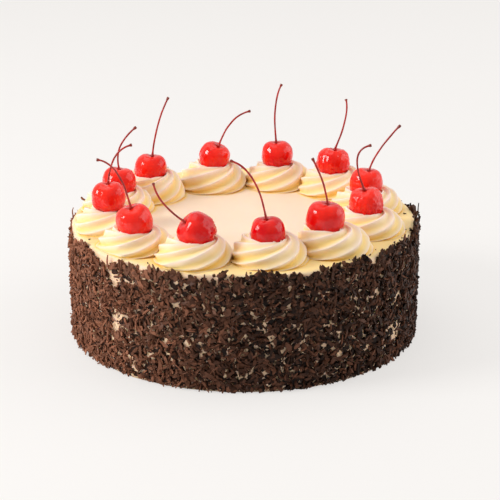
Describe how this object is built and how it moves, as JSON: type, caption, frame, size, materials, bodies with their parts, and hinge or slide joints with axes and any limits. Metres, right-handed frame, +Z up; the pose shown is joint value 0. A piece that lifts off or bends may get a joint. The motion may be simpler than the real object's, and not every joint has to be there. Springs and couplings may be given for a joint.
{
  "type": "black forest cake",
  "caption": "Round cream cake with dark chocolate flakes pressed round its side and a ring of piped cream swirls, each topped by a red cocktail cherry with its stem.",
  "frame": {"origin": "centre of the cake's flat underside, on its axis", "axes": "+Z up along the cake's axis; -Y faces the viewer, +X is to the viewer's right"},
  "size_m": [0.2215, 0.2236, 0.1408],
  "materials": {
    "cream": "soft whipped cream, ivory with a warm yellow in its folds",
    "chocolate": "broken dark chocolate flakes, dull with a faint sheen",
    "cherry": "wet, glossy, slightly translucent red skin",
    "stem": "dark red, thin and slightly glossy"
  },
  "bodies": {
    "root": {"cake": "cream", "chocolate_coat": "chocolate", "swirl_01": "cream", "swirl_02": "cream", "swirl_03": "cream", "swirl_04": "cream", "swirl_05": "cream", "swirl_06": "cream", "swirl_07": "cream", "swirl_08": "cream", "swirl_09": "cream", "swirl_10": "cream", "swirl_11": "cream", "swirl_12": "cream", "cherry_01": "cherry", "cherry_02": "cherry", "cherry_03": "cherry", "cherry_04": "cherry", "cherry_05": "cherry", "cherry_06": "cherry", "cherry_07": "cherry", "cherry_08": "cherry", "cherry_09": "cherry", "cherry_10": "cherry", "cherry_11": "cherry", "cherry_12": "cherry", "stem_01": "stem", "stem_02": "stem", "stem_03": "stem", "stem_04": "stem", "stem_05": "stem", "stem_06": "stem", "stem_07": "stem", "stem_08": "stem", "stem_09": "stem", "stem_10": "stem", "stem_11": "stem", "stem_12": "stem"}
  },
  "joints": []
}
